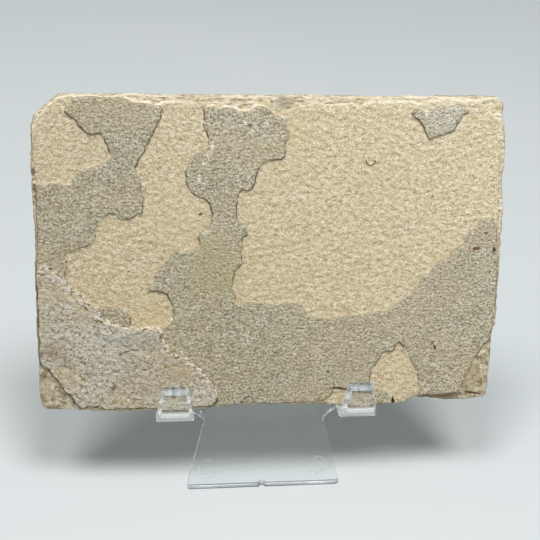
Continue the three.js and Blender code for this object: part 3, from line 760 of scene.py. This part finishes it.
SPECKS = [
    ((52, 75), (0.35, 0.5), 0, rgb(176, 128, 74), 0.5),
    ((52.8, 71), (0.35, 0.6), 0, rgb(160, 112, 62), 0.7),
    ((56, 19), (0.4, 0.9), 20, rgb(66, 51, 38), 0.9),
    ((55, 20.6), (0.4, 0.5), 0, rgb(77, 59, 44), 0.8),
    ((68.5, 53.3), (1.6, 0.5), 5, rgb(113, 72, 49), 0.9),
    ((74.6, 53), (0.6, 1.0), 0, rgb(81, 64, 49), 0.9),
    ((71.5, 58.5), (0.9, 0.4), 0, rgb(105, 81, 59), 0.8),
    ((19.3, 11.7), (0.5, 0.6), 0, rgb(100, 83, 62), 0.8),
    ((-23.5, 65.3), (0.7, 0.5), 30, rgb(77, 62, 46), 0.8),
    ((-8, 94), (0.8, 0.5), 0, rgb(98, 81, 62), 0.8),
    ((42.3, 0.6), (0.5, 1.5), 12, rgb(44, 25, 21), 1.0),
    ((23.6, 5.6), (3.1, 0.35), -4, rgb(92, 72, 53), 0.9),
    ((-47.6, 20.3), (1.3, 0.3), 14, rgb(84, 70, 52), 0.85),
    ((-45.2, 20.8), (1.2, 0.3), -8, rgb(84, 70, 52), 0.85),
    ((-49.6, 19.2), (1.0, 0.35), 40, rgb(104, 90, 70), 0.7),
    ((-52, 8), (0.7, 1.6), -30, rgb(118, 90, 59), 0.7),
    ((71.0, 2.1), (3.2, 0.4), -12, rgb(84, 62, 43), 1.0),
    ((52.0, 95.2), (0.5, 0.35), 20, rgb(104, 88, 68), 0.8),
    ((55.2, 98.4), (0.5, 0.3), -30, rgb(104, 88, 68), 0.8),
    ((59.4, 95.6), (0.5, 0.3), 0, rgb(104, 88, 68), 0.8),
    ((2.4, 95.8), (0.5, 0.3), -20, rgb(84, 70, 54), 0.8),
    ((-60.8, 35.2), (2.0, 0.28), -42, rgb(112, 80, 52), 0.85),
    ((-57.6, 31.2), (1.5, 0.28), -60, rgb(112, 80, 52), 0.85),
    ((-55.4, 30.2), (1.7, 0.28), -30, rgb(112, 80, 52), 0.85),
    ((-52.6, 27.4), (1.2, 0.25), -50, rgb(112, 80, 52), 0.85),
    ((-76, 79), (0.7, 1.4), 0, rgb(107, 92, 72), 0.8),
    ((-75.6, 74), (0.8, 1.2), 0, rgb(100, 85, 66), 0.8),
    ((-75.3, 71), (0.6, 1.0), 0, rgb(139, 100, 72), 0.8),
]
SCRATCHES = [
    ((-19.8, 87), (0.35, 2.2), -6, rgb(245, 238, 226), 0.7),
    ((-21, 83.6), (0.4, 1.1), 25, rgb(245, 238, 226), 0.7),
    ((-22.2, 81.6), (0.9, 0.35), 15, rgb(247, 241, 228), 0.7),
    ((-24, 76.6), (0.35, 1.3), -10, rgb(243, 235, 221), 0.6),
    ((-21.5, 59.5), (1.6, 0.6), 30, rgb(241, 234, 219), 0.5),
    ((-61, 36.5), (3.2, 0.6), -38, rgb(247, 237, 218), 0.75),
    ((-57, 32), (1.1, 0.7), -20, rgb(247, 239, 224), 0.8),
    ((-54, 30), (1.2, 0.6), -25, rgb(247, 239, 224), 0.8),
    ((-66, 39), (2.2, 0.5), -25, rgb(245, 223, 187), 0.7),
    ((73.2, 10.4), (0.3, 4.6), 15, rgb(240, 224, 192), 0.6),
    ((55, 97), (7, 5), 0, rgb(240, 236, 226), 0.18),
    ((49.6, 98.2), (0.7, 0.45), 20, rgb(247, 244, 236), 0.85),
    ((57.0, 96.2), (0.5, 0.4), 0, rgb(247, 244, 236), 0.75),
    ((59.2, 99.2), (0.6, 0.35), -30, rgb(247, 244, 236), 0.75),
    ((-9.4, 94.6), (0.5, 0.3), 10, rgb(247, 244, 236), 0.8),
    ((2.6, 96.8), (0.7, 0.35), -20, rgb(247, 244, 236), 0.8),
    ((-44.5, 19.6), (3.2, 0.5), 4, rgb(241, 230, 206), 0.5),
]
TINT_SOFTNESS = 0.6
SPECK_SOFTNESS = 0.35
SCRATCH_SOFTNESS = 0.5
CRESCENT = (31.7, 82.6)
CRESCENT_RADIUS = 1.25
CRESCENT_OUTER = 1.35 * CRESCENT_RADIUS
CRESCENT_SOFTNESS = 0.12
RAGGED_BY = 1.6  # millimetres
FRONT_BEGINS = (2.5, 3.5)  # millimetres above the back
ANY_DEPTH = 1e6


def ellipse(g, place, centre, radii, turn, softness):
    """1 inside an ellipse on the face, fading to 0 across its outline."""
    moved = g.node("ShaderNodeMapping", {"Vector": place, "Location": (*centre, 0),
                                         "Rotation": (0, 0, math.radians(turn)),
                                         "Scale": (*radii, ANY_DEPTH)}, vector_type="TEXTURE")
    away = g.node("ShaderNodeVectorMath", {0: moved.outputs["Vector"]}, operation="LENGTH").outputs["Value"]
    return g.spread(away, 1 + softness, 1 - softness, smooth=True)


def add_marks(g, here, plain):
    """Lays every mark over the plain colour, on the front only."""
    colour = plain
    wobble = g.node("ShaderNodeTexNoise", {"Vector": here, "Scale": 0.9, "Detail": 3.0}).outputs["Color"]
    shift = g.node("ShaderNodeVectorMath", {0: wobble, 1: (0.5, 0.5, 0.5)}, operation="SUBTRACT")
    ragged = g.node("ShaderNodeVectorMath", {0: shift.outputs[0], 1: (RAGGED_BY, RAGGED_BY, 0), 2: here},
                    operation="MULTIPLY_ADD").outputs[0]
    kinds = ((TINTS, TINT_SOFTNESS), (SPECKS, SPECK_SOFTNESS), (SCRATCHES, SCRATCH_SOFTNESS))
    for marks, softness in kinds:
        for centre, radii, turn, paint, strength in marks:
            inside = ellipse(g, ragged, centre, radii, turn, softness)
            colour = g.mix(g.math("MULTIPLY", inside, strength), colour, paint)
    outer = ellipse(g, here, CRESCENT, (CRESCENT_OUTER,) * 2, 0, CRESCENT_SOFTNESS)
    inner = ellipse(g, here, CRESCENT, (CRESCENT_RADIUS,) * 2, 0, CRESCENT_SOFTNESS)
    ring = g.math("SUBTRACT", outer, inner, clamp=True)
    below = g.spread(g.axis(here, "Y"), CRESCENT[1] + 0.5, CRESCENT[1] - 0.2)
    colour = g.mix(g.math("MULTIPLY", ring, below), colour, rgb(96, 78, 54))
    return g.mix(g.spread(g.axis(here, "Z"), *FRONT_BEGINS), plain, colour)


def add_crust_and_highlight(g, here, colour):
    """The rough bed's upper edge: pale crust, partly painted highlight, with white flakes and brown cracks.
    """
    patchy = g.grains(here, (0.9, 0.7, 0.9), detail=4, roughness=0.75, shift=73)
    flakes = g.grains(here, (1.3, 0.6, 1.3), turn=-0.6, detail=3, roughness=0.6, shift=79)
    cracks = g.grains(here, (0.9, 0.4, 0.9), turn=-0.9, detail=3, roughness=0.6, shift=83)
    crust_and_highlight_colour = g.ramp(patchy, (0.39, rgb(136, 104, 68)), (0.47, rgb(226, 208, 174)),
                          (0.58, rgb(252, 245, 228)))
    band = g.attribute("crust_and_highlight_band")
    colour = g.mix(g.math("MULTIPLY", band, g.spread(flakes, 0.52, 0.6)), colour, rgb(240, 230, 214))
    colour = g.mix(g.spread(g.attribute("crust_and_highlight"), 0.25, 0.6), colour, crust_and_highlight_colour)
    return g.mix(g.math("MULTIPLY", band, g.spread(cracks, 0.56, 0.64)), colour, rgb(100, 70, 46))


# %% Limestone
FACE_FOOT = 0.0  # the face is a little darker towards its foot and its left side
FACE_TOP = 100.0
FACE_SIDE = 75.0


def limestone_material():
    g = Graph("limestone")
    here = g.millimetres(stone_frame)
    wander = g.spread(g.grains(here, (0.6, 0.6, 0.6), detail=2, shift=3), 0.3, 0.7, -0.2, 0.2)

    def chosen(name):
        """A mask with a ragged border, so that beds meet along a broken line."""
        return g.spread(g.math("ADD", g.attribute(name), wander), 0.4, 0.6, smooth=True)

    colour, height = cream_bed(g, here)
    for name, bed in (("grey", grey_bed), ("rough", rough_bed), ("rim", rim_sheets),
                      ("chip", broken_corner), ("side", layered_side), ("back", back_face)):
        mask = chosen(name)
        bed_colour, bed_height = bed(g, here)
        colour = g.mix(mask, colour, bed_colour)
        height = g.blend_value(mask, height, bed_height)
    # Painted shade: the face is made a little darker towards its foot and towards its left side.
    shade_to_foot = g.spread(g.axis(here, "Y"), FACE_FOOT, FACE_TOP, 1.0, 0.0)
    colour = g.mix(shade_to_foot, colour, rgb(238, 236, 231), blend="MULTIPLY")
    shade_to_left = g.spread(g.axis(here, "X"), -FACE_SIDE, FACE_SIDE, 1.0, 0.0)
    colour = g.mix(shade_to_left, colour, rgb(237, 236, 234), blend="MULTIPLY")
    colour = add_marks(g, here, colour)
    hollow = g.attribute("hollow")
    # Painted shade: dark colour in the hollows. Painted highlight: pale colour on what stands out.
    colour = g.mix(g.spread(hollow, 0.05, 0.3, 0.0, 0.65), colour, rgb(96, 80, 58))
    colour = g.mix(g.spread(hollow, -0.06, -0.3, 0.0, 0.5), colour, rgb(238, 228, 204))
    # Painted shade: the ledges that face up get a darker tone, in broken patches, to dim the light they
    # catch.
    ledge_shade_patches = g.grains(here, (2.2, 2.2, 2.2), detail=3, roughness=0.65, shift=89)
    faint = g.spread(ledge_shade_patches, 0.44, 0.6, 0.75, 0.0)
    over = g.math("MULTIPLY", g.spread(g.attribute("ledge_over"), 0.1, 0.5), faint)
    colour = g.mix(over, colour, rgb(172, 158, 130))
    # Partly painted highlight: the rough bed's pale crust, along its edge that faces up.
    colour = add_crust_and_highlight(g, here, colour)
    # Painted highlight: paler colour along the front's outer edge where it faces up, broken by noise.
    broken = g.spread(g.grains(here, (1.8, 0.8, 1.8), detail=4, roughness=0.7, shift=137), 0.38, 0.52)
    arris_highlight = g.math("MULTIPLY", g.spread(g.attribute("arris_highlight"), 0.15, 0.6), broken)
    colour = g.mix(arris_highlight, colour, rgb(241, 230, 206))
    # Painted shade: dark colour under the ledges that face down, in broken patches.
    shade_patches = g.spread(g.grains(here, (1.1, 1.1, 1.1), detail=3, shift=71), 0.38, 0.58, 0.35, 0.9)
    shade_under_ledges = g.math("MULTIPLY", g.spread(g.attribute("ledge_under"), 0.15, 0.6), shade_patches)
    colour = g.mix(shade_under_ledges, colour, rgb(88, 70, 49))
    return g.finish({"Base Color": colour, "Roughness": 0.92, "Specular IOR Level": 0.3}, height)


stone.data.materials.clear()
stone.data.materials.append(limestone_material())
print("limestone nodes:", len(stone.data.materials[0].node_tree.nodes))

# %% [markdown]
# The stand
#
# It is moulded in clear plastic in one go, so all its edges are slightly rounded. The solid
# has the right form: its flat faces are joined up again and every sharp edge gets a small
# bevel, which is what catches the light on clear plastic. Clear plastic is never quite clear
# at its edges and at its sawn foot, so each face also stores how hazy it is, from 0 to 1.
# Light passes through the stand, so it throws no hard shadow and dims nothing around it.

# %% Stand mesh
STAND_BEVEL = 0.35
MARK_BEVEL = 0.08
FLAT_ANGLE = math.radians(1)
SHARP_ANGLE = math.radians(28)
HOOK_HAZE = 0.4  # how milky the rounded edges are, on the hooks and on the plate
PLATE_HAZE = 0.95
SIDE_HAZE = 0.5  # and the plate's sides and sawn foot
FOOT_HAZE = 0.45
FOOT_CORNER = 1.3  # the radius of the foot's two corners, and where they are looked for
FOOT_CORNER_FROM = 24
FOOT_CORNER_UNDER = 1.5
FOOT_EDGE = 0.8 * MM  # faces this near the table are the sawn, frosted ends
PLATE_BACK = -6  # the front plate, and not the leg, lies in front of this
NOTCH_UNDER = 4
ARM_ROOT = (22.5, 26.5)  # where the arms leave the plate
PIN_MARKS = ((-19.3, 7.2), (19.3, 7.2))
PIN_MARK_RADIUS = 3.2


def is_sharp(edge):
    return edge.is_manifold and edge.calc_face_angle() > SHARP_ANGLE


def middle_of(edge):
    return (edge.verts[0].co + edge.verts[1].co) / 2


def in_pin_mark(edge):
    middle = middle_of(edge)
    return any(math.hypot(middle.x - x, middle.y - y) < PIN_MARK_RADIUS + 0.3 for x, y in PIN_MARKS)


def is_foot_corner(edge):
    """One of the two short edges where the front plate's sides meet its foot."""
    middle = middle_of(edge)
    along = (edge.verts[1].co - edge.verts[0].co).normalized()
    at_corner = middle.y < FOOT_CORNER_UNDER and abs(middle.x) > FOOT_CORNER_FROM
    return at_corner and middle.z > -4 and abs(along.z) > 0.8


def bevelled(bm, edges, width, steps):
    """The new faces of a bevel."""
    made = bmesh.ops.bevel(bm, geom=edges, offset=width, offset_type="OFFSET", affect="EDGES",
                           segments=steps, profile=0.5, material=-1, clamp_overlap=True)
    return made["faces"]


def rounded_stand():
    mesh = merged_copy("stand", stand_frame)
    bm = bmesh.new()
    bm.from_mesh(mesh)
    bmesh.ops.dissolve_limit(bm, angle_limit=FLAT_ANGLE, verts=list(bm.verts), edges=list(bm.edges))
    haze = bm.faces.layers.float.new("haze")
    bevelled(bm, [e for e in bm.edges if is_sharp(e) and is_foot_corner(e)], FOOT_CORNER, 2)
    for marks, width in ((True, MARK_BEVEL), (False, STAND_BEVEL)):
        sharp = [e for e in bm.edges if is_sharp(e) and in_pin_mark(e) == marks]
        for face in bevelled(bm, sharp, width, 3):
            face[haze] = PLATE_HAZE if face.calc_center_median().y < ARM_ROOT[1] else HOOK_HAZE
    for face in bm.faces:
        middle = face.calc_center_median()
        in_notch = face.normal.y < -0.5 and middle.y < NOTCH_UNDER and middle.z > PLATE_BACK
        if in_notch or max((stand_frame @ v.co).z for v in face.verts) < FOOT_EDGE:
            face[haze] = FOOT_HAZE
        elif abs(face.normal.x) > 0.9 and middle.y < ARM_ROOT[1] and middle.z > PLATE_BACK:
            face[haze] = max(face[haze], SIDE_HAZE)
    bm.to_mesh(mesh)
    bm.free()
    mesh.shade_smooth()
    return with_modifier(mesh, "WEIGHTED_NORMAL", {"weight": 100, "keep_sharp": False})


stand = place_piece("clear_stand", rounded_stand(), stand_frame)
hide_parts("stand")
stand.visible_shadow = False
stand.visible_diffuse = False
print("stand:", len(stand.data.polygons), "faces")

# %% [markdown]
# The clear plastic
#
# It is see-through, with the index of refraction of acrylic, which such stands are often made
# of, and faintly scuffed by handling. Haze makes it less clear and less glossy. A painted
# shadow darkens it where it touches the table. The plate's faint grey tint is partly its own
# and partly painted shade, in place of the shadow that the stand doesn't throw. The mould left
# its marks: flow lines in the hooks, swirls where the arms leave the plate, and a fine ring
# around each pin mark. The lips' tops carry streaks of painted grey-blue shade.

# %% Clear plastic
ACRYLIC_IOR = 1.49
LEAST_CLEAR = 0.35  # what the haziest edges still let through
BEND_TOP = (33.6, 32.6)  # the hooks' outer bends are hazy, most of all at their top
BEND_FOOT = (30.4, 32.0)
TABLE_CONTACT = (0.5 * MM, 0.3 * MM)
FOOT_NOTCH = (-0.5, 0.0)
ARMS_BEGIN = (24.0, 28.0)
LIP_FROM = (38.5, 39.8)  # up the hook, and out in front of the plate
LIP_OUT = (5.0, 7.0)
# The plate's grey tint is partly the plastic's own and partly painted shade, in place of the shadow the stand
# doesn't throw.
PLATE_TONE = (0.90, 0.92, 0.925, 1)
HOOK_TONE = (0.98, 0.99, 0.99, 1)


def clear_plastic_material():
    g = Graph("clear_plastic")
    here = g.millimetres(stand_frame)
    up = g.axis(here, "Y")
    out = g.axis(here, "Z")
    handled = g.grains(here, (6, 6, 6), detail=4)
    bend = g.math("MULTIPLY", g.spread(up, *BEND_TOP, smooth=True), g.spread(up, *BEND_FOOT, 0.2, 1.0))
    low = g.math("MULTIPLY", bend, g.spread(out, 2.0, 6.0))
    above_table = g.axis(g.node("ShaderNodeTexCoord").outputs["Object"], "Z")
    contact = g.spread(above_table, *TABLE_CONTACT)
    in_notch = ellipse(g, here, FOOT_NOTCH, (2.4, 1.6), 0, 0.3)
    contact = g.math("MAXIMUM", contact, g.math("MULTIPLY", in_notch, 0.7))
    haze = g.math("MAXIMUM", g.attribute("haze"), g.math("MULTIPLY", low, 0.7))
    haze = g.math("MAXIMUM", haze, g.math("MULTIPLY", contact, 0.8))
    tone = g.mix(g.spread(up, *ARMS_BEGIN), PLATE_TONE, HOOK_TONE)
    # Painted shade: grey-blue streaks on the tops of the hooks' lips.
    streaks = g.spread(g.grains(here, (0.5, 6, 6), detail=3, shift=15), 0.40, 0.60, 0.3, 0.95)
    lip = g.math("MULTIPLY", g.spread(up, *LIP_FROM), g.spread(out, *LIP_OUT))
    tone = g.mix(g.math("MULTIPLY", lip, streaks), tone, rgb(124, 133, 140))
    # Painted shadow: the foot darkens where it touches the table and in its notch.
    tone = g.mix(contact, tone, rgb(100, 110, 118))
    surface = g.math("ADD", g.spread(handled, 0.4, 0.7, 0.02, 0.07), g.math("MULTIPLY", haze, 0.35))
    rings = 0.0
    for centre in PIN_MARKS:
        outer = ellipse(g, here, centre, (PIN_MARK_RADIUS + 0.05,) * 2, 0, 0.05)
        inner = ellipse(g, here, centre, (PIN_MARK_RADIUS - 0.15,) * 2, 0, 0.05)
        rings = g.math("ADD", g.math("SUBTRACT", outer, inner, clamp=True), rings)
    surface = g.math("ADD", surface, g.math("MULTIPLY", rings, 0.3))
    flow = g.grains(here, (0.35, 7, 4), detail=2, shift=5)
    flowing = g.math("MULTIPLY", g.math("MULTIPLY", flow, 0.12), g.spread(out, 3.0, 9.0))
    swirl = g.math("MULTIPLY", g.grains(here, (1.3, 1.3, 1.3), detail=2, shift=9), 1.8)
    roots = g.math("ADD", *[ellipse(g, here, (side * ARM_ROOT[0], ARM_ROOT[1]), (3.2, 2.6), 0, 0.5)
                            for side in (-1, 1)])
    height = g.math("ADD", g.math("MULTIPLY", rings, 0.12), flowing)
    height = g.math("MULTIPLY_ADD", swirl, roots, height)
    clear = g.spread(haze, 0.0, 1.0, 1.0, LEAST_CLEAR)
    return g.finish({"Base Color": tone, "Roughness": surface, "IOR": ACRYLIC_IOR,
                     "Transmission Weight": clear}, height)


stand.data.materials.clear()
stand.data.materials.append(clear_plastic_material())
print("clear plastic nodes:", len(stand.data.materials[0].node_tree.nodes))
